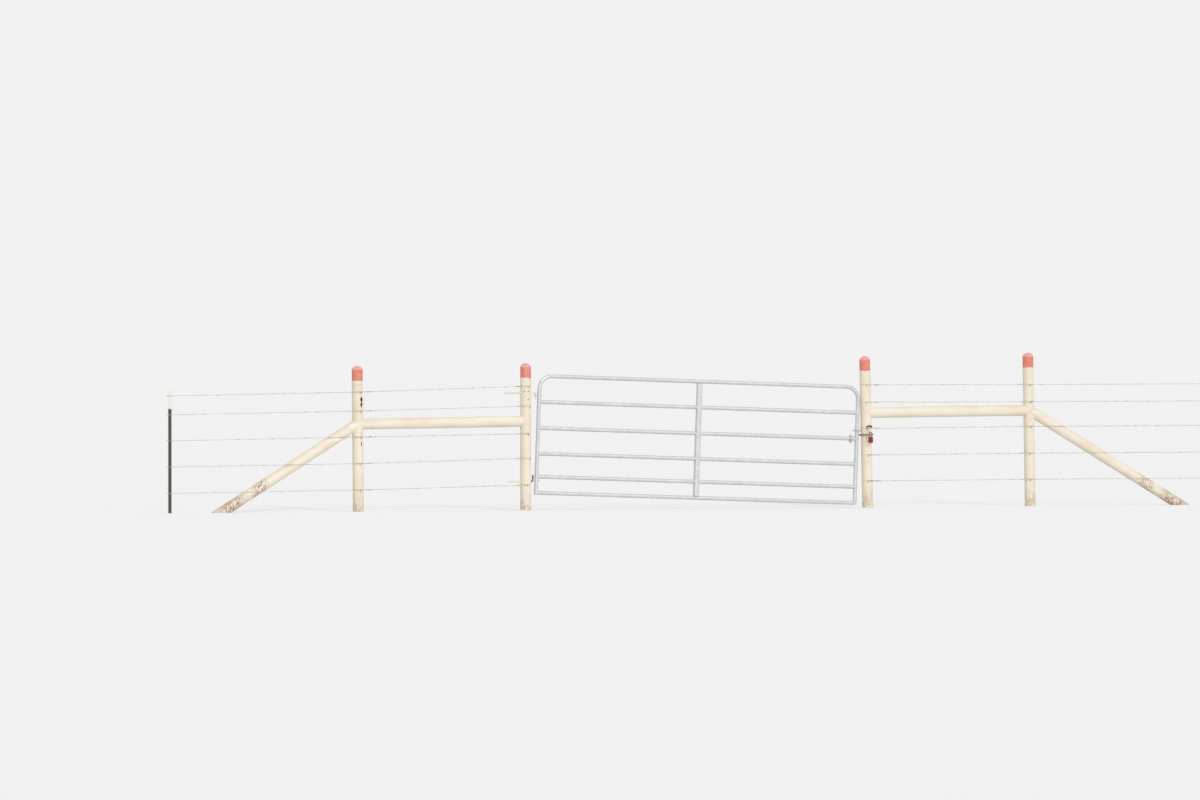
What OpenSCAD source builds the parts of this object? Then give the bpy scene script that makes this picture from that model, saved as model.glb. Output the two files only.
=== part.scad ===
// Pipe gateway with a tube gate, set between the ends of two barbed wire fences.
// X runs along the fence from the hinge post to the latch post, the wires are on
// the -Y side and Z is up. The origin is the centre of the hinge post's foot, at
// ground level. The gate hangs a little low at its free end, and three posts lean.

/* [Pipe] */
// Outer diameter of the posts, rails and braces
pipe_od = 114.3; // [89:0.1:127]
// Wall of that pipe
pipe_wall = 6; // [4:0.1:8]
// Thickness of the disc that closes a pipe at ground level
foot_plate = 10; // [6:1:20]

/* [Posts] */
// Left brace post to hinge post, at the ground
left_bay = 1890; // [1500:10:2400]
// Hinge post to latch post, at the ground
gate_bay = 3921; // [3000:1:4900]
// Latch post to right brace post, at the ground
right_bay = 1890; // [1500:10:2400]
// Top of the left brace post's dome
left_brace_top = 1520; // [1450:10:1700]
// Top of the hinge post's dome
hinge_top = 1540; // [1500:10:1700]
// Top of the latch post's dome
latch_top = 1600; // [1500:10:1750]
// Top of the right brace post's dome
right_brace_top = 1630; // [1500:10:1800]
// Lean of the left brace post, to the left
left_brace_lean = 0.5; // [0:0.1:2]
// Lean of the latch post, to the left
latch_lean = 1.3; // [0:0.1:2]
// Lean of the right brace post, to the left
right_brace_lean = 1; // [0:0.1:2]
// Height of a domed cap
cap_h = 46; // [36:1:52]
// Radius of the dome
cap_dome_r = 60; // [58:1:80]
// Wall of the cap
cap_wall = 4; // [3:0.5:6]

/* [Braces] */
// Left rail's axis at the left brace post
left_rail_out_z = 912; // [800:1:1000]
// Left rail's axis at the hinge post
left_rail_in_z = 931; // [800:1:1000]
// Right rail's axis at the latch post
right_rail_in_z = 1002; // [900:1:1050]
// Right rail's axis at the right brace post
right_rail_out_z = 1016; // [900:1:1050]
// Left diagonal's axis at the left brace post
left_diagonal_z = 915; // [800:1:1000]
// Right diagonal's axis at the right brace post
right_diagonal_z = 1022; // [900:1:1080]
// Slope of the left diagonal
left_slope = 30.9; // [28:0.1:40]
// Slope of the right diagonal
right_slope = 29.9; // [28:0.1:40]

/* [Burst pipe] */
// Direction of the two tears round the left brace post, from +X
tear_turn = -69; // [-90:1:-45]
// Direction in which the pipe swelled before it tore
swell_turn = -41; // [-70:1:-20]
// Depth of the swelling's own axis under the skin of the pipe
swell_in = 8; // [6:0.5:14]
// Thickness that the swollen steel has drawn down to
swell_wall = 4; // [2.5:0.1:5]
// Middle of the upper swelling
high_swell_z = 1147; // [1120:1:1150]
// Length of the upper swelling
high_swell_len = 150; // [100:1:150]
// How far the upper swelling stands out of the pipe
high_swell_out = 19.5; // [8:0.5:22]
// Middle of the lower swelling
low_swell_z = 704; // [620:1:710]
// Length of the lower swelling
low_swell_len = 100; // [60:1:110]
// How far the lower swelling stands out of the pipe
low_swell_out = 9; // [4:0.5:16]
// Width of the upper tear
high_tear_w = 21; // [8:1:26]
// Width of the lower tear
low_tear_w = 14; // [6:1:20]

/* [Gate leaf] */
// Outer diameter of the gate's tubes
tube_od = 41.3; // [38:0.1:45]
// Wall of the tubes
tube_wall = 2; // [1.5:0.1:3]
// Height of the leaf, from bottom rail axis to top rail axis
leaf_h = 1225; // [1150:5:1300]
// Radius of the bent upper corners, at the tube's axis
corner_r = 137; // [80:1:150]
// Lean of the hinge axis, which lets the leaf's free end hang down
sag = 2.1; // [0:0.1:2.5]
// Space between the free stile and the latch post, where it is least
latch_gap = 9.5; // [8:0.5:40]
// Axis of the second rail, above the bottom rail's axis
rail_2_h = 953; // [930:1:980]
// Axis of the third rail
rail_3_h = 679; // [650:1:710]
// Axis of the fourth rail
rail_4_h = 411; // [390:1:440]
// Axis of the fifth rail
rail_5_h = 170; // [160:1:200]
// Width of the stay in the middle of the leaf
stay_w = 54; // [40:1:70]
// Depth of the stay
stay_depth = 43; // [36:1:50]
// Sheet that the stay is folded from
stay_t = 2.5; // [1.5:0.1:3.5]
// Outer radius of the stay's folds
stay_fold_r = 8; // [6:1:12]

/* [Hinges] */
// Diameter of the hooked bolts
hook_d = 16; // [12:0.5:18]
// Axis of the upper bolt, above the ground
upper_hook_z = 1229; // [1200:1:1260]
// Axis of the lower bolt, above the ground
lower_hook_z = 300; // [280:1:340]
// Hinge axis from the hinge post's axis, at the lower eye
pin_x = 81; // [78:0.5:110]
// Radius of the hook's bend, at its axis
hook_bend = 18; // [17:0.5:24]
// Straight length of the upturned or downturned pin
pin_len = 50; // [36:1:70]
// How far the upper bolt's threaded end stands out behind the post
upper_tail = 181; // [80:1:220]
// The same for the lower bolt
lower_tail = 150; // [80:1:220]
// Diameter of the eye bolts
eye_d = 10; // [8:0.5:12]
// Space between a hook pin and its eye, all round
eye_play = 0.6; // [0.3:0.1:1]
// How far the pins have worn each eye's bore into a straight round face
eye_wear = 0.4; // [0.2:0.1:0.6]
// Hinge axis to the hinge stile's axis
eye_to_stile = 40; // [40:0.5:60]
// Lower eye above the bottom rail's axis
lower_eye_h = 133; // [120:1:145]
// Upper eye above the bottom rail's axis
upper_eye_h = 1019; // [985:1:1070]

/* [Fence] */
// Diameter of the twisted strand
strand_d = 5; // [4:0.5:6]
// Diameter of the wire that ties a strand
tie_d = 4; // [3:0.5:5]
// Length of the wrap where a tie is twisted round its strand
wrap_len = 62; // [40:1:90]
// Outer diameter of that wrap
wrap_d = 11; // [9:0.5:14]
// Left brace post to the left line post
left_line_bay = 2130; // [1800:10:3000]
// Right brace post to the right line post
right_line_bay = 2130; // [1800:10:3000]
// Height of the left line post
left_line_h = 1273; // [1240:1:1400]
// Height of the right line post
right_line_h = 1360; // [1320:1:1500]
// Width of the line post's flange
flange_w = 35; // [30:1:45]
// Depth of the line post
line_depth = 38; // [30:1:50]
// Thickness of its flange and web
line_t = 4.5; // [3:0.5:6]
// Space between its studs
stud_pitch = 54; // [45:1:70]

/* [Latch] */
// Diameter of the chain's wire
link_d = 6; // [5:0.5:7]
// Inner width of a link
link_w = 14; // [13:0.5:16]
// Height of the chain on the latch post
chain_z = 768; // [740:1:790]
// Direction in which the padlock hangs, from +X
lock_turn = -68; // [-95:1:-50]
// Width of the padlock
lock_w = 52; // [46:1:60]
// Height of the padlock's body
lock_h = 58; // [36:1:70]
// Thickness of the padlock's body
lock_t = 17; // [14:0.5:18]
// Diameter of the shackle
shackle_d = 6.5; // [5:0.5:7]
// Length of the shackle's legs
shackle_leg = 26; // [20:1:40]

/* [Hidden] */
$fn = 48;

// Space left between pieces that are welded, clamped or rest on each other
fit = 0.3;
pipe_r = pipe_od / 2;
tube_r = tube_od / 2;
strand_r = strand_d / 2;

// Feet of the posts along X
left_brace_x = -left_bay;
hinge_x = 0;
latch_x = gate_bay;
right_brace_x = gate_bay + right_bay;
left_line_x = left_brace_x - left_line_bay;
right_line_x = right_brace_x + right_line_bay;
hinge_lean = 0;

// Where a leaning post's axis is at a height
function post_x(foot, lean, z) = foot - z * tan(lean);

// The lower eye rests in the bend of the lower hook, and the hinge axis leans from there
eye_ring_r = hook_d / 2 + eye_play + eye_d / 2;
eye_seat = sqrt(pow(hook_bend - hook_d / 2 - eye_d / 2 - fit, 2) - pow(hook_bend - eye_ring_r, 2));
pin_z = lower_hook_z + hook_bend - eye_seat - eye_ring_r * sin(sag);
function axis_x(z) = pin_x + (z - pin_z) * tan(sag);

// The leaf reaches to the latch post less the gap, measured where the free stile's bend starts
stile_top = leaf_h - corner_r;
bend_w = stile_top - lower_eye_h;
leaf_reach = gate_bay - pipe_r / cos(latch_lean) - (pin_z + bend_w * cos(sag)) * tan(latch_lean)
             - pin_x - bend_w * sin(sag) - tube_r / cos(sag) - latch_gap;
leaf_len = leaf_reach / (cos(sag) - sin(sag) * tan(latch_lean)) - eye_to_stile;

// Strand heights: at the line post, the brace post and the gate's post on each side
left_strands = [[1215, 1246, 1300], [1020, 1048, 1090], [750, 777, 801],
                [478, 501, 545], [205, 225, 265]];
right_strands = [[1290, 1292, 1296], [1107, 1109, 1113], [846, 846, 835],
                 [562, 562, 555], [285, 285, 280]];
strand_y = -(pipe_r + fit + strand_r);
strand_end = 45;
tie_rise = strand_r + tie_d / 2 + fit;
wrap_from = 72;

// Straight bar and wire is lapped into its bends, and thicker there by a hair
lap = 0.4;
lap_d = 0.04;

// Chain: its ring on the latch post sets the length of a link. The more the chain turns at
// a joint, the more play the two links have there
ring_links = 15;
link_axis_r = (link_w + link_d) / 2;
link_reach = link_axis_r * sin(45) + link_d / 2;
ring_mid_r = pipe_r + fit + link_reach;
ring_play = 0.8;
turn_play = 1.8;
link_inner = 2 * ring_mid_r * tan(180 / ring_links) + ring_play;
link_half = (link_inner - link_w) / 2;
function ring_radius(count, play) = (link_inner - play) / (2 * tan(180 / count));

white_paint = [0.93, 0.89, 0.79];
red_paint = [0.88, 0.45, 0.38];
galvanised = [0.72, 0.72, 0.73];
green_paint = [0.24, 0.27, 0.2];
wire_grey = [0.45, 0.4, 0.35];
rusty_steel = [0.45, 0.2, 0.12];

module post_frame(foot, lean) {
    translate([foot, 0, 0]) rotate([0, -lean, 0]) children();
}

module ground_cut(foot, half) {
    translate([foot - half, -half, -2 * half]) cube([2 * half, 2 * half, 2 * half]);
}

// Cylinder along the line between two points of the XZ plane, longer by extra at its end
module bar_xz(a, b, d, y = 0, extra = 0) {
    run = b - a;
    translate([a[0], y, a[1]])
        rotate([0, 90 - atan2(run[1], run[0]), 0])
            cylinder(d = d, h = norm(run) + extra);
}

// Posts: a pipe cut level at the ground and closed there, open at its top under the cap
module post(foot, lean, top) {
    difference() {
        post_pipe(foot, lean, top);
        post_hollow(foot, lean, top);
        ground_cut(foot, pipe_od);
    }
}

module post_pipe(foot, lean, top) {
    post_frame(foot, lean)
        translate([0, 0, -foot_plate])
            cylinder(d = pipe_od, h = top / cos(lean) - cap_h + foot_plate);
}

module post_hollow(foot, lean, top) {
    post_frame(foot, lean)
        translate([0, 0, foot_plate]) cylinder(d = pipe_od - 2 * pipe_wall, h = top);
}

// The post's full thickness, used to cope the pipes that meet it
tallest = max(left_brace_top, hinge_top, latch_top, right_brace_top);

module post_blank(foot, lean) {
    post_frame(foot, lean)
        translate([0, 0, -pipe_od]) cylinder(r = pipe_r + fit, h = tallest + 3 * pipe_od);
}

module cap(foot, lean, top) {
    post_frame(foot, lean)
        translate([0, 0, top / cos(lean) - cap_h])
            rotate_extrude()
                difference() {
                    dome_profile(cap_dome_r, pipe_r);
                    dome_profile(cap_dome_r - cap_wall, pipe_r - cap_wall);
                }
}

module dome_profile(dome_r, reach) {
    intersection() {
        translate([0, cap_h - cap_dome_r]) circle(r = dome_r, $fn = 96);
        square([reach, cap_h]);
    }
}

// Where ice has burst the left brace post: the wall swelled out and then tore along the pipe.
// The swelling is an arc turned round an axis just under the skin
module swelling(z, len, out, wall) {
    arc_r = (pow(len / 2, 2) + pow(out, 2)) / (2 * out);
    reach = swell_in + out;
    post_frame(left_brace_x, left_brace_lean)
        rotate([0, 0, swell_turn])
            translate([pipe_r - swell_in, 0, z])
                rotate_extrude()
                    intersection() {
                        translate([reach - arc_r, 0]) circle(r = arc_r - wall, $fn = 96);
                        translate([0, -len]) square([reach, 2 * len]);
                    }
}

module swellings(wall) {
    swelling(high_swell_z, high_swell_len, high_swell_out, wall);
    swelling(low_swell_z, low_swell_len, low_swell_out, wall);
}

// A tear runs to a point at both ends
module tear(z, len, w) {
    arc_r = (pow(len, 2) + pow(w, 2)) / (4 * w);
    post_frame(left_brace_x, left_brace_lean)
        rotate([0, 0, tear_turn])
            translate([0, 0, z])
                rotate([90, 0, 90])
                    linear_extrude(pipe_od)
                        intersection_for(way = [-1, 1])
                            translate([way * (arc_r - w / 2), 0]) circle(r = arc_r, $fn = 96);
}

// The upper tear has two lobes, with a neck between them where its lips nearly meet
module left_brace_post() {
    color(white_paint)
        difference() {
            union() {
                post_pipe(left_brace_x, left_brace_lean, left_brace_top);
                swellings(0);
            }
            post_hollow(left_brace_x, left_brace_lean, left_brace_top);
            swellings(swell_wall);
            tear(high_swell_z + 0.16 * high_swell_len, 0.45 * high_swell_len, high_tear_w);
            tear(high_swell_z - 0.25 * high_swell_len, 0.42 * high_swell_len, 0.9 * high_tear_w);
            tear(low_swell_z, 0.57 * low_swell_len, low_tear_w);
            ground_cut(left_brace_x, pipe_od);
        }
}

module hinge_post() {
    color(white_paint)
        difference() {
            post(hinge_x, hinge_lean, hinge_top);
            hook_bore(upper_hook_z);
            hook_bore(lower_hook_z);
        }
}

module hook_bore(z) {
    translate([-pipe_od, 0, z]) rotate([0, 90, 0]) cylinder(d = hook_d + 2 * fit, h = 2 * pipe_od);
}

module latch_post() {
    color(white_paint) post(latch_x, latch_lean, latch_top);
}

module right_brace_post() {
    color(white_paint) post(right_brace_x, right_brace_lean, right_brace_top);
}

module left_brace_cap() {
    color(red_paint) cap(left_brace_x, left_brace_lean, left_brace_top);
}

module hinge_cap() {
    color(red_paint) cap(hinge_x, hinge_lean, hinge_top);
}

module latch_cap() {
    color(red_paint) cap(latch_x, latch_lean, latch_top);
}

module right_brace_cap() {
    color(red_paint) cap(right_brace_x, right_brace_lean, right_brace_top);
}

// Rails: a pipe between two post axes, coped to both posts
module brace_rail(a, b) {
    difference() {
        bar_xz(a, b, pipe_od);
        bar_xz(a, b, pipe_od - 2 * pipe_wall);
        children();
    }
}

module left_brace_rail() {
    color(white_paint)
        brace_rail([post_x(left_brace_x, left_brace_lean, left_rail_out_z), left_rail_out_z],
                   [hinge_x, left_rail_in_z]) {
            post_blank(left_brace_x, left_brace_lean);
            post_blank(hinge_x, hinge_lean);
        }
}

module right_brace_rail() {
    color(white_paint)
        brace_rail([post_x(latch_x, latch_lean, right_rail_in_z), right_rail_in_z],
                   [post_x(right_brace_x, right_brace_lean, right_rail_out_z), right_rail_out_z]) {
            post_blank(latch_x, latch_lean);
            post_blank(right_brace_x, right_brace_lean);
        }
}

// Diagonal brace from its post, at the rail's height, down to the ground on side way
module diagonal_brace(foot, lean, z, slope, way) {
    head = [post_x(foot, lean, z), z];
    toe = [head[0] + way * z / tan(slope), 0];
    difference() {
        bar_xz(head, toe, pipe_od, extra = pipe_od * 2);
        difference() {
            bar_xz(head, toe, pipe_od - 2 * pipe_wall, extra = pipe_od * 2);
            translate([toe[0] - pipe_od * 3, -pipe_od, -pipe_od * 3])
                cube([pipe_od * 6, pipe_od * 2, pipe_od * 3 + foot_plate]);
        }
        translate([toe[0] - pipe_od * 3, -pipe_od, -pipe_od * 3])
            cube([pipe_od * 6, pipe_od * 2, pipe_od * 3]);
        post_blank(foot, lean);
    }
}

module left_diagonal_brace() {
    color(white_paint)
        diagonal_brace(left_brace_x, left_brace_lean, left_diagonal_z, left_slope, -1);
}

module right_diagonal_brace() {
    color(white_paint)
        diagonal_brace(right_brace_x, right_brace_lean, right_diagonal_z, right_slope, 1);
}

// Line posts: rolled T section with studs on the flange, which the strands lie against
module line_post(x, h, strand_heights) {
    first_stud = 80;
    stud = [9, 4, 7];
    translate([x, -pipe_r, 0]) {
        linear_extrude(h)
            union() {
                translate([-flange_w / 2, 0]) square([flange_w, line_t]);
                translate([-line_t / 2, 0]) square([line_t, line_depth]);
                translate([0, line_depth - line_t / 2]) circle(d = line_t * 1.6);
            }
        for (z = [first_stud : stud_pitch : h - stud_pitch / 2])
            if (min([for (s = strand_heights) abs(z - s)]) > strand_r + stud[2])
                translate([-stud[0] / 2, -stud[1], z - stud[2] / 2])
                    cube([stud[0], stud[1] + line_t / 2, stud[2]]);
    }
}

module left_line_post() {
    color(green_paint) line_post(left_line_x, left_line_h, [for (s = left_strands) s[0]]);
}

module right_line_post() {
    color(green_paint) line_post(right_line_x, right_line_h, [for (s = right_strands) s[0]]);
}

// Wire clip: round the back of the line post, with a hook over the strand on each side, and
// level with where the strand has risen to on the side of the bay
clip_d = 3;

module post_clip(x, brace_x, s) {
    side = flange_w / 2 + fit + clip_d / 2;
    back = -pipe_r + line_depth + line_t + clip_d / 2;
    front = strand_y - strand_r - fit - clip_d / 2;
    rise = (s[1] - s[0]) * (strand_end + side + clip_d) / (strand_end + abs(brace_x - x));
    level = s[0] + max(0, rise) + strand_r + fit + clip_d / 2;
    for (way = [-1, 1]) {
        translate([x + way * side, front, level])
            rotate([-90, 0, 0]) cylinder(d = clip_d, h = back - front);
        translate([x + way * side, front, level - 3 * clip_d]) cylinder(d = clip_d, h = 3 * clip_d);
        translate([x + way * side, front, level]) sphere(d = clip_d);
        translate([x + way * side, back, level]) sphere(d = clip_d);
    }
    translate([x - side, back, level]) rotate([0, 90, 0]) cylinder(d = clip_d, h = 2 * side);
}

module left_post_clips() {
    color(galvanised) for (s = left_strands) post_clip(left_line_x, left_brace_x, s);
}

module right_post_clips() {
    color(galvanised) for (s = right_strands) post_clip(right_line_x, right_brace_x, s);
}

// Strands: each bends a little at the brace post and ends at the gate's post
module strand(line_x, brace_x, gate_x, z) {
    line_end = [line_x + sign(line_x - gate_x) * strand_end, z[0]];
    bend = [brace_x, z[1]];
    gate_end = [gate_x, z[2]];
    to_line = (line_end - bend) / norm(line_end - bend);
    to_gate = (gate_end - bend) / norm(gate_end - bend);
    knuckle = (to_gate - to_line) / norm(to_gate - to_line) * strand_d;
    bar_xz(bend + to_line, line_end, strand_d, strand_y);
    bar_xz(bend - knuckle, bend + knuckle, strand_d + fit, strand_y);
    bar_xz(bend + to_gate, gate_end, strand_d, strand_y);
}

module left_fence_wires() {
    color(wire_grey)
        for (z = left_strands)
            strand(left_line_x, post_x(left_brace_x, left_brace_lean, z[1]), hinge_x, z);
}

module right_fence_wires() {
    color(wire_grey)
        for (z = right_strands)
            strand(right_line_x, post_x(right_brace_x, right_brace_lean, z[1]),
                   post_x(latch_x, latch_lean, z[2]), z);
}

// Tie: a ring of wire round the post above its strand, and a wrap round the strand on side way
module wire_tie(foot, lean, z, next, way) {
    here = [post_x(foot, lean, z), z];
    run = (next - here) / norm(next - here);
    post_frame(foot, lean)
        translate([0, 0, z / cos(lean) + tie_rise])
            rotate_extrude() translate([pipe_r + fit + tie_d / 2, 0]) circle(d = tie_d);
    difference() {
        bar_xz(here + run * wrap_from, here + run * (wrap_from + wrap_len), wrap_d, strand_y);
        bar_xz(here + run * (wrap_from - 1), here + run * (wrap_from + wrap_len + 1),
               strand_d + 2 * fit, strand_y);
    }
}

module left_wire_ties() {
    color(wire_grey)
        for (z = left_strands) {
            brace = [post_x(left_brace_x, left_brace_lean, z[1]), z[1]];
            wire_tie(left_brace_x, left_brace_lean, z[1], [hinge_x, z[2]], 1);
            wire_tie(hinge_x, hinge_lean, z[2], brace, -1);
        }
}

module right_wire_ties() {
    color(wire_grey)
        for (z = right_strands) {
            brace = [post_x(right_brace_x, right_brace_lean, z[1]), z[1]];
            gate = [post_x(latch_x, latch_lean, z[2]), z[2]];
            wire_tie(right_brace_x, right_brace_lean, z[1], gate, -1);
            wire_tie(latch_x, latch_lean, z[2], brace, 1);
        }
}

// Hooked bolt right through the hinge post, its pin up or down on side way
module hinge_hook(z, tail, way) {
    bend_x = axis_x(z + way * hook_bend) - hook_bend;
    translate([-pipe_r - tail, 0, z])
        rotate([0, 90, 0]) cylinder(d = hook_d + lap_d, h = pipe_r + tail + bend_x + lap);
    translate([bend_x, 0, z])
        mirror([0, 0, way < 0 ? 1 : 0]) {
            translate([0, 0, hook_bend]) rotate([90, 0, 0]) rotate([0, 0, 270])
                rotate_extrude(angle = 90) translate([hook_bend, 0]) circle(d = hook_d);
            translate([hook_bend, 0, hook_bend - lap]) cylinder(d = hook_d + lap_d, h = pin_len + lap);
        }
}

module upper_hinge_hook() {
    color(white_paint) hinge_hook(upper_hook_z, upper_tail, -1);
}

module lower_hinge_hook() {
    color(rusty_steel) hinge_hook(lower_hook_z, lower_tail, 1);
}

module nut(d, across, h) {
    rotate([0, 90, 0])
        difference() {
            cylinder(d = across / cos(30), h = h, $fn = 6);
            translate([0, 0, -1]) cylinder(d = d + 2 * fit, h = h + 2);
        }
}

hook_nut_w = 24;
hook_nut_h = 13;

module hinge_hook_nuts() {
    color(white_paint)
        for (z = [upper_hook_z, lower_hook_z])
            translate([-pipe_r - fit - hook_nut_h, 0, z]) nut(hook_d, hook_nut_w, hook_nut_h);
}

// The leaf's own frame: u along the bottom rail from the hinge stile, w up that stile
module leaf() {
    translate([pin_x, 0, pin_z]) rotate([0, sag, 0])
        translate([eye_to_stile, 0, -lower_eye_h]) children();
}

module tube_section() {
    difference() {
        circle(d = tube_od);
        circle(d = tube_od - 2 * tube_wall);
    }
}

module tube_along_u(from, to, w) {
    translate([from, 0, w]) rotate([0, 90, 0]) linear_extrude(to - from) tube_section();
}

module tube_corner(u, w, start) {
    translate([u, 0, w]) rotate([90, 0, 0]) rotate([0, 0, start])
        rotate_extrude(angle = 90) translate([corner_r, 0]) tube_section();
}

// Both stiles and the top rail are one bent tube, closed by a disc at each lower end
end_plate = 3;

module gate_frame() {
    color(galvanised)
        leaf()
            difference() {
                union() {
                    tube_along_u(corner_r, leaf_len - corner_r, leaf_h);
                    tube_corner(leaf_len - corner_r, stile_top, 0);
                    tube_corner(corner_r, stile_top, 90);
                    for (u = [0, leaf_len])
                        translate([u, 0, -tube_r]) {
                            linear_extrude(stile_top + tube_r) tube_section();
                            cylinder(d = tube_od, h = end_plate);
                        }
                }
                for (w = [lower_eye_h, upper_eye_h])
                    translate([-tube_od, 0, w])
                        rotate([0, 90, 0]) cylinder(d = eye_d + 2 * fit, h = 2 * tube_od);
            }
}

module gate_rail(w) {
    leaf()
        difference() {
            tube_along_u(0, leaf_len, w);
            for (u = [0, leaf_len])
                translate([u, 0, w - tube_od]) cylinder(r = tube_r + fit, h = 2 * tube_od);
        }
}

module gate_rail_2() {
    color(galvanised) gate_rail(rail_2_h);
}

module gate_rail_3() {
    color(galvanised) gate_rail(rail_3_h);
}

module gate_rail_4() {
    color(galvanised) gate_rail(rail_4_h);
}

module gate_rail_5() {
    color(galvanised) gate_rail(rail_5_h);
}

module gate_bottom_rail() {
    color(galvanised) gate_rail(0);
}

// Stay: a folded channel in front of the rails, its flanges notched round the inner four
module stay_section() {
    difference() {
        round_corners(stay_w, stay_depth, stay_fold_r);
        translate([0, -1])
            round_corners(stay_w - 2 * stay_t, stay_depth - stay_t + 1, stay_fold_r - stay_t);
    }
}

// Rectangle on the X axis, rounded at its two upper corners
module round_corners(w, h, r) {
    translate([-w / 2, 0]) square([w, h - r]);
    translate([-w / 2 + r, 0]) square([w - 2 * r, h]);
    for (side = [-1, 1]) translate([side * (w / 2 - r), h - r]) circle(r = r);
}

module gate_stay() {
    end = tube_r + fit;
    front = -tube_r - 2 * fit - stay_t;
    color(galvanised)
        leaf()
            difference() {
                translate([leaf_len / 2, front + stay_depth, end])
                    linear_extrude(leaf_h - 2 * end) rotate(180) stay_section();
                for (w = [rail_5_h, rail_4_h, rail_3_h, rail_2_h])
                    translate([leaf_len / 2 - stay_w, 0, w])
                        rotate([0, 90, 0]) cylinder(r = tube_r + fit, h = 2 * stay_w);
            }
}

// Eye bolt: a ring round the hook pin and a shank right through the hinge stile
eye_nut_w = 17;
eye_nut_h = 13;
eye_end = 6;

module hinge_eye(w) {
    tip = eye_to_stile + tube_r + fit + eye_nut_h + eye_end;
    leaf()
        translate([-eye_to_stile, 0, w]) {
            difference() {
                rotate_extrude() translate([eye_ring_r, 0]) circle(d = eye_d);
                translate([0, 0, -eye_d])
                    cylinder(r = eye_ring_r - eye_d / 2 + eye_wear, h = 2 * eye_d);
            }
            translate([eye_ring_r, 0, 0]) rotate([0, 90, 0]) cylinder(d = eye_d, h = tip - eye_ring_r);
        }
}

module upper_hinge_eye() {
    color(galvanised) hinge_eye(upper_eye_h);
}

module lower_hinge_eye() {
    color(galvanised) hinge_eye(lower_eye_h);
}

module hinge_eye_nuts() {
    color(galvanised)
        leaf()
            for (w = [lower_eye_h, upper_eye_h])
                translate([tube_r + fit, 0, w]) nut(eye_d, eye_nut_w, eye_nut_h);
}

// Chain link along X, in the XY plane
module link() {
    for (way = [-1, 1]) {
        translate([-link_half - lap, way * link_axis_r, 0])
            rotate([0, 90, 0]) cylinder(d = link_d + lap_d, h = 2 * (link_half + lap));
        translate([way * link_half, 0, 0]) rotate([0, 0, way > 0 ? -90 : 90])
            rotate_extrude(angle = 180) translate([link_axis_r, 0]) circle(d = link_d);
    }
}

// Ring of links that turns about Z, whose links before the first are left out
module link_ring(count, play, first = 0) {
    for (i = [first : count - 1])
        rotate([0, 0, i * 360 / count])
            translate([ring_radius(count, play), 0, 0])
                rotate([0, 0, 90]) rotate([i % 2 == 0 ? 45 : -45, 0, 0]) link();
}

// The gate's chain goes round the free stile and round the third rail beside it
turn_links = 8;
stile_ring_h = 86;
rail_ring_u = 72;

module gate_chain() {
    slack = ring_radius(turn_links, turn_play) - tube_r - fit - link_reach;
    color(galvanised)
        leaf() {
            translate([leaf_len - slack, 0, rail_3_h + stile_ring_h]) link_ring(turn_links, turn_play);
            translate([leaf_len - rail_ring_u, 0, rail_3_h - slack])
                rotate([0, 90, 0]) link_ring(turn_links, turn_play);
        }
}

// Ring of chain on the latch post, one link short where the padlock closes it
module latch_chain() {
    color(rusty_steel) on_latch_ring() link_ring(ring_links, ring_play, 1);
}

module on_latch_ring() {
    post_frame(latch_x, latch_lean) translate([0, 0, chain_z]) rotate([0, 0, lock_turn]) children();
}

// Padlock: its shackle's legs pass through the two end links, its bow well above them
shackle_rise = 8;

module padlock() {
    leg_in = shackle_d / 2 + 2 * fit - ring_play / 2;
    half = (link_inner - ring_play) / 2 + leg_in * cos(360 / ring_links);
    out = ring_mid_r - leg_in * sin(360 / ring_links);
    color(rusty_steel)
        on_latch_ring()
            translate([out, 0, 0]) {
                translate([0, 0, shackle_rise]) rotate([90, 0, 90])
                    rotate_extrude(angle = 180) translate([half, 0]) circle(d = shackle_d);
                for (way = [-1, 1])
                    translate([0, way * half, -shackle_leg])
                        cylinder(d = shackle_d + lap_d, h = shackle_leg + shackle_rise + lap);
                translate([-lock_t / 2, 0, -shackle_leg]) rotate([90, 0, 90])
                    linear_extrude(lock_t) mirror([0, 1]) round_corners(lock_w, lock_h, 10);
            }
}

left_brace_post();
hinge_post();
latch_post();
right_brace_post();
left_brace_cap();
hinge_cap();
latch_cap();
right_brace_cap();
left_brace_rail();
right_brace_rail();
left_diagonal_brace();
right_diagonal_brace();
left_line_post();
right_line_post();
left_post_clips();
right_post_clips();
left_fence_wires();
right_fence_wires();
left_wire_ties();
right_wire_ties();
upper_hinge_hook();
lower_hinge_hook();
hinge_hook_nuts();
gate_frame();
gate_rail_2();
gate_rail_3();
gate_rail_4();
gate_rail_5();
gate_bottom_rail();
gate_stay();
upper_hinge_eye();
lower_hinge_eye();
hinge_eye_nuts();
gate_chain();
latch_chain();
padlock();
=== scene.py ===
import math
import random

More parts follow.
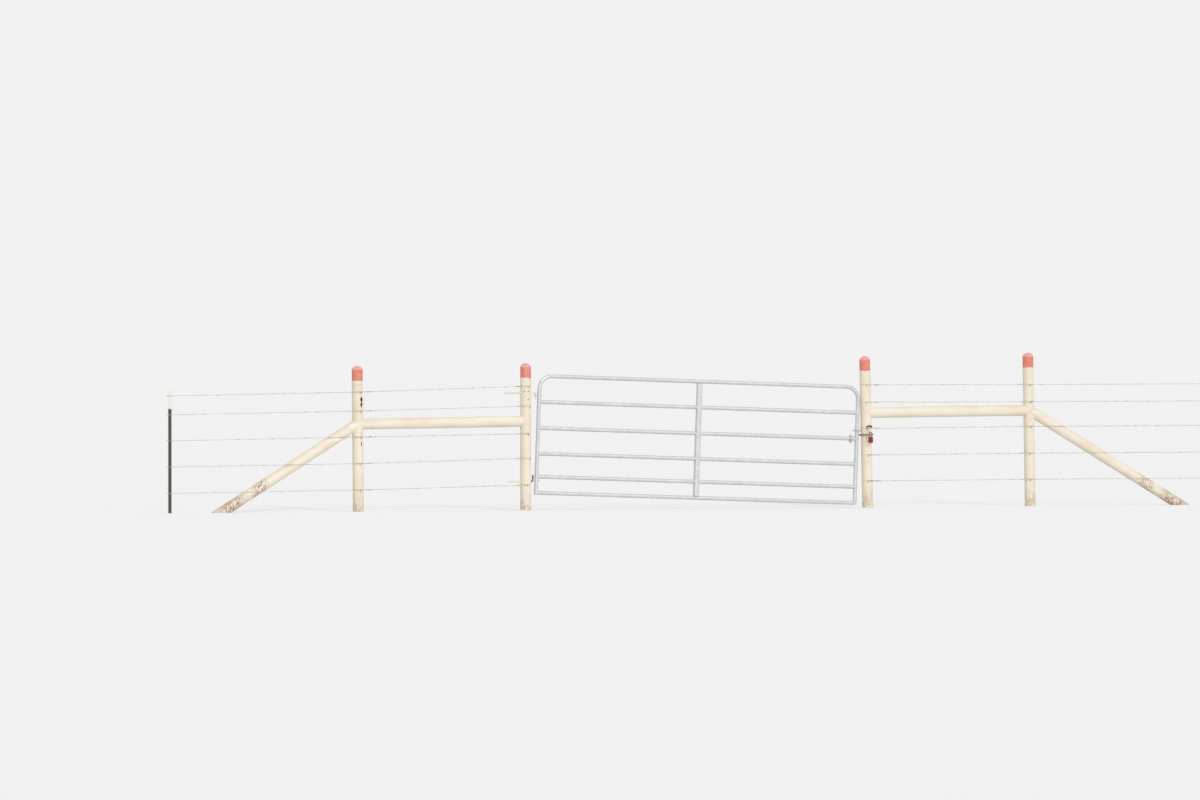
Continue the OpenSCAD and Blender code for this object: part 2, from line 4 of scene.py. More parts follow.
import bpy
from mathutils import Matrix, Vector


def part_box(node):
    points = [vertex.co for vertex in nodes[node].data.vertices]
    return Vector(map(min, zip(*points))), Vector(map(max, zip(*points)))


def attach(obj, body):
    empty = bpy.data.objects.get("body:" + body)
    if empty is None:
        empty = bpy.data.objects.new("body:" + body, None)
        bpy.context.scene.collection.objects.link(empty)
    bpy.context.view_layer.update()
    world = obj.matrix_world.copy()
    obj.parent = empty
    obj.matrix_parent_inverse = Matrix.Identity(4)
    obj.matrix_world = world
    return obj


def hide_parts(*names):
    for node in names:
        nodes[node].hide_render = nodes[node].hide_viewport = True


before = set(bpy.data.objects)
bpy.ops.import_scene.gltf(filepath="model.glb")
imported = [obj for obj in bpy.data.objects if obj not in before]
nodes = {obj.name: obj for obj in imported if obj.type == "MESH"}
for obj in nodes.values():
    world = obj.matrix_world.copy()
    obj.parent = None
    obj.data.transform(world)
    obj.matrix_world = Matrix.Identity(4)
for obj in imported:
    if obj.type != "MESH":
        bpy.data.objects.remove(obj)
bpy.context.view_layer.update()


# Sizes in metres and degrees, the same as the part's source
gateway = {
    "pipe": 0.05715, "fit": 0.0003, "capHeight": 0.046,
    "feet": {"leftBrace": -1.890, "hinge": 0.0, "latch": 3.921, "rightBrace": 5.811},
    "leans": {"leftBrace": 0.5, "hinge": 0.0, "latch": 1.3, "rightBrace": 1.0},
    "tops": {"leftBrace": 1.520, "hinge": 1.540, "latch": 1.600, "rightBrace": 1.630},
    "rails": [("leftBrace", 0.912, "hinge", 0.931), ("latch", 1.002, "rightBrace", 1.016)],
    "diagonals": [("leftBrace", 0.915, 30.9, -1), ("rightBrace", 1.022, 29.9, 1)],
    "hooks": {"upper": {"z": 1.229, "tail": 0.181}, "lower": {"z": 0.300, "tail": 0.150}},
}
leaf = {
    "pinX": 0.081, "pinZ": 0.31585, "sag": 2.1, "toStile": 0.040, "length": 3.6544, "height": 1.225,
    "lowerEye": 0.133, "upperEye": 1.019, "rails": [0.0, 0.170, 0.411, 0.679, 0.953], "tube": 0.02065,
}
nodeNames = {"leftBrace": "left_brace", "hinge": "hinge", "latch": "latch", "rightBrace": "right_brace"}
pipe = gateway["pipe"]
tube = leaf["tube"]


def postX(post, z):
    return gateway["feet"][post] - z * math.tan(math.radians(gateway["leans"][post]))


def postLine(post):
    lean = math.radians(gateway["leans"][post])
    return Vector((gateway["feet"][post], 0, 0)), Vector((-math.sin(lean), 0, math.cos(lean)))


# A place on the gate: u runs from the hinge stile along the bottom rail, w up the stile
def leafPlace(u, w, y=0.0):
    sag = math.radians(leaf["sag"])
    out, up = u + leaf["toStile"], w - leaf["lowerEye"]
    return Vector((leaf["pinX"] + out * math.cos(sag) + up * math.sin(sag), y,
                   leaf["pinZ"] - out * math.sin(sag) + up * math.cos(sag)))


# Finishes

def toLinear(hexColour):
    parts = [int(hexColour[i:i + 2], 16) / 255 for i in (1, 3, 5)]
    return tuple(c / 12.92 if c <= 0.04045 else ((c + 0.055) / 1.055) ** 2.4 for c in parts) + (1.0,)


def addNode(paint, kind, inputs=None, **settings):
    node = paint.node_tree.nodes.new("ShaderNode" + kind)
    for setting, value in settings.items():
        setattr(node, setting, value)
    for socket, value in (inputs or {}).items():
        if isinstance(value, bpy.types.NodeSocket):
            paint.node_tree.links.new(value, node.inputs[socket])
        else:
            node.inputs[socket].default_value = toLinear(value) if isinstance(value, str) else value
    return node


def newPaint(name, colour, roughness, metallic=0.0):
    paint = bpy.data.materials.new(name)
    paint.use_nodes = True
    shader = paint.node_tree.nodes["Principled BSDF"]
    shader.inputs["Base Color"].default_value = toLinear(colour)
    shader.inputs["Roughness"].default_value = roughness
    shader.inputs["Metallic"].default_value = metallic
    return paint, shader, addNode(paint, "TexCoord").outputs["Object"]


# Patches of a real size in millimetres: none where the cloud is under low, full where it is over high
def patches(paint, place, sizeMm, low, high, share=1.0, detail=3.0):
    cloud = addNode(paint, "TexNoise", {"Vector": place, "Scale": 1000 / sizeMm, "Detail": detail})
    return addNode(paint, "MapRange", {"Value": cloud.outputs["Fac"], "From Min": low, "From Max": high,
                                       "To Max": share}, interpolation_type="SMOOTHSTEP").outputs["Result"]


def roughen(paint, shader, place, grainMm, strength, depth):
    grain = addNode(paint, "TexNoise", {"Vector": place, "Scale": 1000 / grainMm, "Detail": 2.0})
    bump = addNode(paint, "Bump", {"Height": grain.outputs["Fac"], "Strength": strength, "Distance": depth})
    paint.node_tree.links.new(bump.outputs["Normal"], shader.inputs["Normal"])


# Adds up to reach to a value, in soft patches of a real size in millimetres, so that its line wavers
def wavering(paint, place, value, sizeMm, reach):
    cloud = patches(paint, place, sizeMm, 0.3, 0.7, reach)
    return addNode(paint, "Math", {0: value, 1: cloud}, operation="ADD").outputs[0]


# In each finish, patches are size in millimetres, low, high, share and detail, and a grain is its
# size in millimetres, its strength and its depth
enamel = {
    "cream": "#F2E7D3", "dull": "#E6D7BA", "chalk": "#F7F1E5", "rust": "#8B5030", "oldRust": "#5E3524",
    "soil": "#9C8560", "roughness": 0.48, "gloss": 0.4, "brushStretch": 0.08, "runStretch": 0.16,
    "duller": (260, 0.44, 0.7, 0.55), "chalky": (60, 0.5, 0.7, 0.7), "runs": (11, 0.44, 0.6, 0.75),
    "specks": (9, 0.70, 0.75, 0.85, 2.0), "drops": (30, 0.32, 0.72, 0.6, 5.0), "grain": (3.5, 0.22, 0.0004),
    "splashTop": 0.26, "stainSquash": (1, 0.4, 0.42), "stainCore": 0.35,
    "chipWaver": 0.4, "chipWaverMm": 5, "chipEdge": 1.25,
}
redPaint = {
    "salmon": "#E5836F", "faded": "#EFAEA0", "roughness": 0.5, "fading": (42, 0.42, 0.68, 0.5, 4.0),
    "chipped": (10, 0.68, 0.71, 0.8), "grain": (4.0, 0.2, 0.0004), "band": 0.158, "hingeSlant": 0.09,
    "waver": 0.006, "waverMm": 28, "edge": (0.002, 0.005), "domeEdge": (0.056, 0.030), "domeFade": 0.9,
}


# Rust that bleeds from a weld or a bolt hole: a round stain, longer than it is wide
def stainAt(paint, place, x, z, reach):
    squash = enamel["stainSquash"]
    moved = addNode(paint, "Mapping", {"Vector": place, "Location": (-x, 0, -z * squash[2]), "Scale": squash})
    away = addNode(paint, "VectorMath", {0: moved.outputs["Vector"]}, operation="LENGTH").outputs["Value"]
    return addNode(paint, "MapRange", {"Value": away, "From Min": reach,
                                       "From Max": enamel["stainCore"] * reach},
                   interpolation_type="SMOOTHSTEP").outputs["Result"]


# Gloss enamel brushed on steel pipe and chalked by the sun: faint brush lines along the pipe, soft
# changes of tone, rust bleeding from the welds and splashed soil near the ground
def brushedEnamel(name, stains, redFrom=None, slant=0.0, along="Z", torn=None, chips=()):
    look = enamel
    paint, shader, place = newPaint(name, look["cream"], look["roughness"])
    shader.inputs["Specular IOR Level"].default_value = look["gloss"]
    spot = addNode(paint, "SeparateXYZ", {"Vector": place}).outputs
    brushed = (1, 1, look["brushStretch"]) if along == "Z" else (look["brushStretch"], 1, 1)
    longways = addNode(paint, "Mapping", {"Vector": place, "Scale": brushed}).outputs["Vector"]
    hanging = (1, 1, look["runStretch"])
    downwards = addNode(paint, "Mapping", {"Vector": place, "Scale": hanging}).outputs["Vector"]

    # Each layer is where it shows, and its colour
    layers = [(patches(paint, place, *look["duller"]), look["dull"]),
              (patches(paint, longways, *look["chalky"]), look["chalk"])]
    if redFrom is not None:
        layers.append((redEdge(paint, place, spot, redFrom, slant),
                       fadedRed(paint, place, spot["Z"], redFrom + redPaint["band"])))
    splash = addNode(paint, "MapRange", {"Value": spot["Z"], "From Min": look["splashTop"], "From Max": 0.0},
                     interpolation_type="SMOOTHSTEP").outputs["Result"]
    drops = patches(paint, place, *look["drops"])
    soil = addNode(paint, "Math", {0: splash, 1: drops}, operation="MULTIPLY").outputs[0]
    layers.append((soil, look["soil"]))
    runs = patches(paint, downwards, *look["runs"])
    for x, z, reach in stains:
        stain = stainAt(paint, place, x, z, reach)
        bleed = addNode(paint, "Math", {0: stain, 1: runs}, operation="MULTIPLY").outputs[0]
        layers.append((bleed, look["rust"]))
    layers.append((patches(paint, place, *look["specks"]), look["oldRust"]))
    layers += [(chipAt(paint, place, middle, size), look["oldRust"]) for middle, size in chips]
    if torn:
        layers.append((tornSteel(paint, place, torn), rustTones(paint, place, rust)))

    colour = look["cream"]
    for cover, over in layers:
        colour = addNode(paint, "Mix", {0: cover, 6: colour, 7: over}, data_type="RGBA").outputs[2]
    paint.node_tree.links.new(colour, shader.inputs["Base Color"])
    roughen(paint, shader, longways, *look["grain"])
    return paint


# A dark spot with a ragged edge, coloured like a chip knocked through the paint down to rusty steel
def chipAt(paint, place, middle, size):
    away = addNode(paint, "VectorMath", {0: place, 1: tuple(middle)}, operation="DISTANCE").outputs["Value"]
    ragged = wavering(paint, place, away, enamel["chipWaverMm"], enamel["chipWaver"] * size)
    return addNode(paint, "MapRange", {"Value": ragged, "From Min": enamel["chipEdge"] * size,
                                       "From Max": size}).outputs["Result"]


# Bare steel shows where the pipe has torn open: all that lies deeper than the paint under the
# pipe's skin and under the skin of both swellings
def tornSteel(paint, place, torn):
    foot, up = postLine("leftBrace")
    lean = math.radians(gateway["leans"]["leftBrace"])
    turn = math.radians(torn["turn"])
    aside = Vector((math.cos(turn), math.sin(turn), 0)) * (pipe - torn["under"])
    deepest = underSkin(paint, place, foot, lean, 0.0, 0.0, pipe)
    for z, length, out in torn["swellings"]:
        arc = ((length / 2) ** 2 + out ** 2) / (2 * out)
        centre = foot + up * z + aside
        depth = underSkin(paint, place, centre, lean, 1.0, arc - torn["under"] - out, arc)
        deepest = addNode(paint, "Math", {0: deepest, 1: depth}, operation="MAXIMUM").outputs[0]
    painted, bare = torn["paint"]
    return addNode(paint, "MapRange", {"Value": deepest, "From Min": painted,
                                       "From Max": bare}).outputs["Result"]


# How deep a spot lies under a skin that is turned round a leaning axis through centre. The bulge is
# 0 for a straight pipe and 1 for a swelling, whose arc has its centre behind the axis
def underSkin(paint, place, centre, lean, bulge, behind, radius):
    shift = addNode(paint, "VectorMath", {0: place, 1: tuple(centre)}, operation="SUBTRACT")
    level = addNode(paint, "VectorRotate", {"Vector": shift.outputs["Vector"], "Angle": lean},
                    rotation_type="Y_AXIS")
    spot = addNode(paint, "SeparateXYZ", {"Vector": level.outputs["Vector"]}).outputs
    flat = addNode(paint, "CombineXYZ", {"X": spot["X"], "Y": spot["Y"]}).outputs["Vector"]
    across = addNode(paint, "VectorMath", {0: flat}, operation="LENGTH").outputs["Value"]
    far = addNode(paint, "Math", {0: across, 1: behind}, operation="ADD").outputs[0]
    high = addNode(paint, "Math", {0: spot["Z"], 1: bulge}, operation="MULTIPLY").outputs[0]
    reach = addNode(paint, "CombineXYZ", {"X": far, "Y": high}).outputs["Vector"]
    away = addNode(paint, "VectorMath", {0: reach}, operation="LENGTH").outputs["Value"]
    return addNode(paint, "Math", {0: radius, 1: away}, operation="SUBTRACT").outputs[0]


# The red was brushed over the cream by hand, so its edge wavers, and on one post it slants
def redEdge(paint, place, spot, redFrom, slant):
    low, high = redPaint["edge"]
    tilt = addNode(paint, "Math", {0: spot["X"], 1: slant, 2: spot["Z"]}, operation="MULTIPLY_ADD")
    edge = wavering(paint, place, tilt.outputs[0], redPaint["waverMm"], redPaint["waver"])
    return addNode(paint, "MapRange", {"Value": edge, "From Min": redFrom + low,
                                       "From Max": redFrom + high}).outputs["Result"]


# Sun and rain have faded the red, most of all on the dome
def fadedRed(paint, place, z, top):
    low, high = redPaint["domeEdge"]
    blotches = patches(paint, place, *redPaint["fading"])
    dome = addNode(paint, "MapRange", {"Value": z, "From Min": top - low, "From Max": top - high,
                                       "To Max": redPaint["domeFade"]}, interpolation_type="SMOOTHSTEP")
    red = redPaint["salmon"]
    for cover in (blotches, dome.outputs["Result"]):
        red = addNode(paint, "Mix", {0: cover, 6: red, 7: redPaint["faded"]}, data_type="RGBA").outputs[2]
    return red


# The same hand-brushed red on the weld-on cap, chipped back to the cream under it
def redEnamel(name, top):
    paint, shader, place = newPaint(name, redPaint["salmon"], redPaint["roughness"])
    z = addNode(paint, "SeparateXYZ", {"Vector": place}).outputs["Z"]
    chipped = patches(paint, place, *redPaint["chipped"])
    colour = addNode(paint, "Mix", {0: chipped, 6: fadedRed(paint, place, z, top), 7: enamel["cream"]},
                     data_type="RGBA").outputs[2]
    paint.node_tree.links.new(colour, shader.inputs["Base Color"])
    roughen(paint, shader, place, *redPaint["grain"])
    return paint


zinc = {
    "grey": "#D6D7D8", "dark": "#B9BBBE", "bloom": "#E5E5E3", "roughness": 0.45, "metallic": 0.5,
    "crystalMm": 14, "crystalShare": 0.5, "clouds": (120, 0.4, 0.75, 0.5, 5.0), "smoothest": 0.42,
    "dulling": 0.15, "dullingMm": 50, "grain": (18, 0.08, 0.0006),
}


# Steel tube galvanised in a bath, years ago: the silver skin of zinc crystals has gone dull and
# pale, clouded with white bloom
def hotDipZinc(name):
    look = zinc
    paint, shader, place = newPaint(name, look["grey"], look["roughness"], look["metallic"])
    crystals = addNode(paint, "TexVoronoi", {"Vector": place, "Scale": 1000 / look["crystalMm"]})
    tone = addNode(paint, "SeparateColor", {"Color": crystals.outputs["Color"]}).outputs["Red"]
    facets = addNode(paint, "MapRange", {"Value": tone, "To Max": look["crystalShare"]}).outputs["Result"]
    clouds = patches(paint, place, *look["clouds"])
    colour = look["grey"]
    for cover, over in ((facets, look["dark"]), (clouds, look["bloom"])):
        colour = addNode(paint, "Mix", {0: cover, 6: colour, 7: over}, data_type="RGBA").outputs[2]
    paint.node_tree.links.new(colour, shader.inputs["Base Color"])
    rough = wavering(paint, place, look["smoothest"], look["dullingMm"], look["dulling"])
    paint.node_tree.links.new(rough, shader.inputs["Roughness"])
    roughen(paint, shader, place, *look["grain"])
    return paint


drawnWire = {"roughness": 0.5, "metallic": 0.3, "worn": (75, 0.48, 0.64)}


# Drawn wire whose thin zinc has dulled and lets rust through in long stretches: pale grey and tan
def weatheredWire(name, pale, rusty, share):
    paint, shader, place = newPaint(name, pale, drawnWire["roughness"], drawnWire["metallic"])
    worn = patches(paint, place, *drawnWire["worn"], share)
    colour = addNode(paint, "Mix", {0: worn, 6: pale, 7: rusty}, data_type="RGBA").outputs[2]
    paint.node_tree.links.new(colour, shader.inputs["Base Color"])
    return paint


# Bare mild steel rusted in the open: matt red brown, darker in the pits, orange where it is fresh.
# The padlock's rust is redder, and the chain's is thin, with dull zinc still over most of it
rust = {"brown": "#94502E", "pit": "#4E2819", "fresh": "#B06A3C"}
padlockRust = {"brown": "#944630", "pit": "#622A1C", "fresh": "#AC6340"}
chainRust = {"brown": "#B3A08A", "pit": "#8C6A4E", "fresh": "#C3B7A6"}
rusting = {
    "roughness": 0.85, "metallic": 0.15, "pits": (7, 0.38, 0.64, 1.0, 4.0), "fresh": (16, 0.55, 0.7, 0.7),
    "grain": (2.5, 0.5, 0.0006), "edge": 0.004, "waver": 0.02, "waverMm": 9,
}


def rustTones(paint, place, tones):
    colour = tones["brown"]
    for cover, over in (("pits", tones["pit"]), ("fresh", tones["fresh"])):
        colour = addNode(paint, "Mix", {0: patches(paint, place, *rusting[cover]), 6: colour, 7: over},
                         data_type="RGBA").outputs[2]
    return colour


# Past fromX the steel is bare, and up to there it still has its cream paint
def rustedSteel(name, tones, fromX=None):
    paint, shader, place = newPaint(name, tones["brown"], rusting["roughness"], rusting["metallic"])
    colour = rustTones(paint, place, tones)
    if fromX is not None:
        x = addNode(paint, "SeparateXYZ", {"Vector": place}).outputs["X"]
        edge = wavering(paint, place, x, rusting["waverMm"], rusting["waver"])
        bare = addNode(paint, "MapRange", {"Value": edge, "From Min": fromX,
                                           "From Max": fromX + rusting["edge"]})
        colour = addNode(paint, "Mix", {0: bare.outputs["Result"], 6: enamel["cream"], 7: colour},
                         data_type="RGBA").outputs[2]
    paint.node_tree.links.new(colour, shader.inputs["Base Color"])
    roughen(paint, shader, place, *rusting["grain"])
    return paint


lineFinish = {
    "green": "#3B4233", "rust": "#63432C", "tip": "#EDE8DA", "roughness": 0.55,
    "worn": (22, 0.5, 0.64, 0.8, 4.0), "grain": (5.0, 0.25, 0.0005), "waver": 0.006, "waverMm": 9,
    "tops": {"left": 1.273, "right": 1.360}, "tipDepth": 0.190, "tipEdge": 0.003,
}


# Rolled rail steel dipped in dark enamel, its tip in white, and worn to rust in patches
def dippedEnamel(name, top):
    look = lineFinish
    paint, shader, place = newPaint(name, look["green"], look["roughness"])
    z = addNode(paint, "SeparateXYZ", {"Vector": place}).outputs["Z"]
    edge = wavering(paint, place, z, look["waverMm"], look["waver"])
    low = top - look["tipDepth"]
    tip = addNode(paint, "MapRange", {"Value": edge, "From Min": low, "From Max": low + look["tipEdge"]})
    worn = patches(paint, place, *look["worn"])
    colour = look["green"]
    for cover, over in ((worn, look["rust"]), (tip.outputs["Result"], look["tip"])):
        colour = addNode(paint, "Mix", {0: cover, 6: colour, 7: over}, data_type="RGBA").outputs[2]
    paint.node_tree.links.new(colour, shader.inputs["Base Color"])
    roughen(paint, shader, place, *look["grain"])
    return paint


# An orange-brown patch runs down the latch post under the chain, and rust bleeds on the upper hook
# and from the braces' toes. Each is its place, its height and its reach, and a toe's stains are placed
# by how far they lie from its end
postBrownPatches = {"latch": [(postX("latch", 0.75), 0.73, 0.06)]}
hookStains = [(0.115, 1.20, 0.03)]
toeStains = [(0.1, 0.06, 0.19), (0.42, 0.22, 0.12)]
railStains = []
for post, z, slope, side in gateway["diagonals"]:
    toe = postX(post, z) + side * z / math.tan(math.radians(slope))
    railStains += [(toe - side * inward, height, reach) for inward, height, reach in toeStains]

# Dark spots on the paint, most of them chips: the direction round the post, the height and the size in
# millimetres
postChips = {
    "leftBrace": [(-80, 1.325, 4), (-72, 0.816, 6)],
    # The first three on the hinge post are dark spots by the upper hook, coloured like the chips
    "hinge": [(-81, 1.244, 7.5), (-84, 1.160, 8), (-123, 1.241, 6), (-79, 1.060, 3.5)],
    "latch": [(-100, 0.705, 4), (-84, 0.620, 3)],
    "rightBrace": [(-96, 0.930, 3)],
}

# The two swellings of the burst post: middle, length and how far each stands out. The paint ends
# between the two depths under the skin
burst = {"turn": -41.0, "under": 0.008, "swellings": [(1.147, 0.150, 0.0195), (0.704, 0.100, 0.009)],
         "paint": (0.0010, 0.0016)}


def onSkin(post, turn, z, out=0.0):
    around = math.radians(turn)
    return Vector((postX(post, z) + (pipe + out) * math.cos(around), (pipe + out) * math.sin(around), z))


postEnamel, capEnamel = {}, {}
for post, top in gateway["tops"].items():
    postEnamel[post] = brushedEnamel(
        "brushedEnamel_" + post, postBrownPatches.get(post, []), redFrom=top - redPaint["band"],
        slant=redPaint["hingeSlant"] if post == "hinge" else 0.0, torn=burst if post == "leftBrace" else None,
        chips=[(onSkin(post, turn, z), sizeMm / 1000) for turn, z, sizeMm in postChips[post]])
    capEnamel[post] = redEnamel("redEnamel_" + post, top)
railEnamel = brushedEnamel("brushedEnamel_rails", railStains, along="X")
hookEnamel = brushedEnamel("brushedEnamel_hook", hookStains, along="X")
zincTube = hotDipZinc("hotDipZinc")
fenceWire = weatheredWire("weatheredWire", "#C9C1B2", "#9C7A58", share=0.75)
tieZinc = weatheredWire("weatheredTieWire", "#E2DBCB", "#A98B68", share=0.5)
tailZinc = weatheredWire("darkTieTail", "#AE9878", "#7A5638", share=0.8)
rustySteel = rustedSteel("rustedSteel", rust)
rustyPadlock = rustedSteel("rustedPadlock", padlockRust)
rustyChain = rustedSteel("rustedChain", chainRust)
wornHook = rustedSteel("wornHook", rust, fromX=pipe)

finishes = [
    (railEnamel, ["left_brace_rail", "right_brace_rail", "left_diagonal_brace", "right_diagonal_brace"]),
    (hookEnamel, ["upper_hinge_hook", "hinge_hook_nuts"]),
    (zincTube, ["gate_frame", "gate_rail_2", "gate_rail_3", "gate_rail_4", "gate_rail_5", "gate_bottom_rail",
                "gate_stay", "upper_hinge_eye", "lower_hinge_eye", "hinge_eye_nuts", "gate_chain"]),
    (wornHook, ["lower_hinge_hook"]),
    (rustyChain, ["latch_chain"]),
    (rustyPadlock, ["padlock"]),
    (fenceWire, ["left_post_clips", "right_post_clips", "left_fence_wires", "right_fence_wires"]),
    (tieZinc, ["left_wire_ties", "right_wire_ties"]),
]
for post, prefix in nodeNames.items():
    finishes += [(postEnamel[post], [prefix + "_post"]), (capEnamel[post], [prefix + "_cap"])]
for side, top in lineFinish["tops"].items():
    finishes.append((dippedEnamel("dippedEnamel_" + side, top), [side + "_line_post"]))
for paint, names in finishes:
    for name in names:
        nodes[name].data.materials.clear()
        nodes[name].data.materials.append(paint)
print("finishes put on the CAD nodes")


# Making and placing pieces

def deselectAll():
    if bpy.context.object and bpy.context.object.mode != "OBJECT":
        bpy.ops.object.mode_set(mode="OBJECT")
    bpy.ops.object.select_all(action="DESELECT")


def choose(piece):
    deselectAll()
    piece.select_set(True)
    bpy.context.view_layer.objects.active = piece


def placed(piece, name, paint, body, replaces=(), smooth=40):
    choose(piece)
    bpy.ops.object.transform_apply(location=True, rotation=True, scale=True)
    bpy.ops.object.shade_smooth_by_angle(angle=math.radians(smooth))
    piece.name = name
    piece.data.name = name
    piece.data.materials.clear()
    piece.data.materials.append(paint)
    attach(piece, body)
    if replaces:
        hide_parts(*replaces)
    return piece


def joined(pieces):
    choose(pieces[0])
    for piece in pieces:
        piece.select_set(True)
    bpy.ops.object.join()
    return bpy.context.object


# Round wire or bead along each run of points. A point may carry its own share of the radius
def bentWire(runs, radius, facets, closed=False):
    curve = bpy.data.curves.new("wire", "CURVE")
    curve.dimensions = "3D"
    curve.bevel_depth = radius
    curve.bevel_resolution = facets // 2 - 2
    curve.use_fill_caps = not closed
    for run in runs:
        spline = curve.splines.new("POLY")
        spline.points.add(len(run) - 1)
        for point, spot in zip(spline.points, run):
            place, share = spot if isinstance(spot, tuple) else (spot, 1.0)
            point.co = (*place, 1.0)
            point.radius = share
        spline.use_cyclic_u = closed
    piece = bpy.data.objects.new("wire", curve)
    bpy.context.scene.collection.objects.link(piece)
    choose(piece)
    bpy.ops.object.convert(target="MESH")
    return bpy.context.view_layer.objects.active


# A point on a coil round the line through centre
def coilPlace(centre, way, angle, radius):
    across = Vector((0, 1, 0))
    over = way.cross(across).normalized()
    return centre + across * (radius * math.cos(angle)) + over * (radius * math.sin(angle))


# Barbed wire: two wires twisted together, with a barb of two short wires wound round them. A strand's
# heights are those at the line post, the brace post and the gate post
strand = {
    "y": -0.05995, "wire": 0.00125, "lay": 0.075, "stepsPerTurn": 10, "end": 0.045,
    "linePosts": {"left": -4.020, "right": 7.941}, "outward": {"left": -1, "right": 1},
    "left": [(1.215, 1.246, 1.300), (1.020, 1.048, 1.090), (0.750, 0.777, 0.801), (0.478, 0.501, 0.545),
             (0.205, 0.225, 0.265)],
    "right": [(1.290, 1.292, 1.296), (1.107, 1.109, 1.113), (0.846, 0.846, 0.835), (0.562, 0.562, 0.555),
              (0.285, 0.285, 0.280)],
}
barb = {
    "space": 0.125, "uneven": (0.94, 1.06), "first": (0.04, 0.1), "last": 0.15, "wire": 0.0009, "turns": 1.5,
    "steps": 6, "apart": 0.004, "crossing": 1.6, "reach": 0.013, "aim": 0.2, "splay": 0.002, "point": 0.2,
}
anyTurn = (0, 6.28)
sides = {"left": ("leftBrace", "hinge"), "right": ("rightBrace", "latch")}


def strandCorners(side, heights):
    bracePost, gatePost = sides[side]
    start = strand["linePosts"][side] + strand["outward"][side] * strand["end"]
    return [Vector((start, strand["y"], heights[0])),
            Vector((postX(bracePost, heights[1]), strand["y"], heights[1])),
            Vector((postX(gatePost, heights[2]), strand["y"], heights[2]))]


def strandLength(corners):
    return sum((b - a).length for a, b in zip(corners, corners[1:]))


def placeAlong(corners, distance):
    for a, b in zip(corners, corners[1:]):
        reach = (b - a).length
        if distance <= reach or b is corners[-1]:
            return a.lerp(b, min(1.0, distance / reach)), (b - a).normalized()
        distance -= reach


def twistedPair(corners, phase):
    length = strandLength(corners)
    steps = int(length / strand["lay"] * strand["stepsPerTurn"])
    runs = []
    for wire in (0, 1):
        run = []
        for i in range(steps + 1):
            centre, way = placeAlong(corners, length * i / steps)
            turn = phase + wire * math.pi + 2 * math.pi * i / strand["stepsPerTurn"]
            run.append(coilPlace(centre, way, turn, strand["wire"]))
        runs.append(run)
    return runs


def barbWire(corners, middle, turn):
    radius = 2 * strand["wire"] + barb["wire"]
    wound = 2 * math.pi * barb["turns"]
    run = []
    for i in range(barb["steps"] + 1):
        share = i / barb["steps"]
        centre, way = placeAlong(corners, middle + (share - 0.5) * barb["apart"])
        run.append(coilPlace(centre, way, turn + wound * share, radius))
    for end in (-1, 1):
        centre, way = placeAlong(corners, middle + end * barb["apart"] / 2)
        angle = turn + (wound if end > 0 else 0)
        root = coilPlace(centre, way, angle, radius)
        outward = (coilPlace(centre, way, angle + end * barb["aim"], radius) - root).normalized()
        tip = (root + outward * barb["reach"] + way * (end * barb["splay"]), barb["point"])
        run = run + [tip] if end > 0 else [tip] + run
    return run


dice = random.Random(11)
for side in sides:
    pairs, barbs = [], []
    for heights in strand[side]:
        corners = strandCorners(side, heights)
        pairs += twistedPair(corners, dice.uniform(*anyTurn))
        middle = dice.uniform(*barb["first"])
        while middle < strandLength(corners) - barb["last"]:
            turn = dice.uniform(*anyTurn)
            barbs.append(barbWire(corners, middle - barb["apart"] / 2, turn))
            barbs.append(barbWire(corners, middle + barb["apart"] / 2, turn + barb["crossing"]))
            middle += barb["space"] * dice.uniform(*barb["uneven"])
    placed(bentWire(pairs, strand["wire"], 6), side + "_barbed_strands", fenceWire, "gateway",
           replaces=[side + "_fence_wires"])
    placed(bentWire(barbs, barb["wire"], 4), side + "_barbs", fenceWire, "gateway")
print("barbed strands made")


# Tie wire: wound close round the strand, then once round the post
tie = {
    "wire": 0.0019, "wrapFrom": 0.072, "wrapLength": 0.062, "turns": 14, "steps": 9, "ringSteps": 40,
    "rise": 0.0048, "climb": 0.0025, "wobble": 0.0006, "wobbleRound": 2.5, "wobbleUp": 20,
}


def tieWire(post, z, towards):
    here = Vector((postX(post, z), strand["y"], z))
    way = (towards - here).normalized()
    count = tie["turns"] * tie["steps"]
    run = []
    for i in range(count + 1):
        share = i / count
        centre = here + way * (tie["wrapFrom"] + tie["wrapLength"] * (1 - share))
        run.append(coilPlace(centre, way, 2 * math.pi * tie["turns"] * share + math.pi / 2,
                             2 * strand["wire"] + tie["wire"]))
    wayRound = 1 if way.x > 0 else -1
    radius = pipe + gateway["fit"] + tie["wire"]
    lean = math.tan(math.radians(gateway["leans"][post]))
    for i in range(tie["ringSteps"] + 1):
        turn = -math.pi / 2 - wayRound * 2 * math.pi * i / tie["ringSteps"]
        wobble = tie["wobble"] * math.sin(tie["wobbleRound"] * turn + tie["wobbleUp"] * z)
        level = z + tie["rise"] + wobble + tie["climb"] * i / tie["ringSteps"]
        run.append(Vector((postX(post, z) + radius * math.cos(turn) - (level - z) * lean,
                           radius * math.sin(turn), level)))
    return run


for side, (bracePost, gatePost) in sides.items():
    ties = []
    for heights in strand[side]:
        corners = strandCorners(side, heights)
        ties += [tieWire(bracePost, heights[1], corners[2]), tieWire(gatePost, heights[2], corners[1])]
    placed(bentWire(ties, tie["wire"], 6), side + "_tie_wires", tieZinc, "gateway",
           replaces=[side + "_wire_ties"])

# Each tie's two ends are twisted together into a short tail, coloured darker and browner than the tie
tail = {"wire": 0.0017, "length": 0.024, "twists": 4, "steps": 8, "lean": 0.4, "clear": 0.001, "uneven": 14,
        "turn": {"left": -80, "right": -100}}


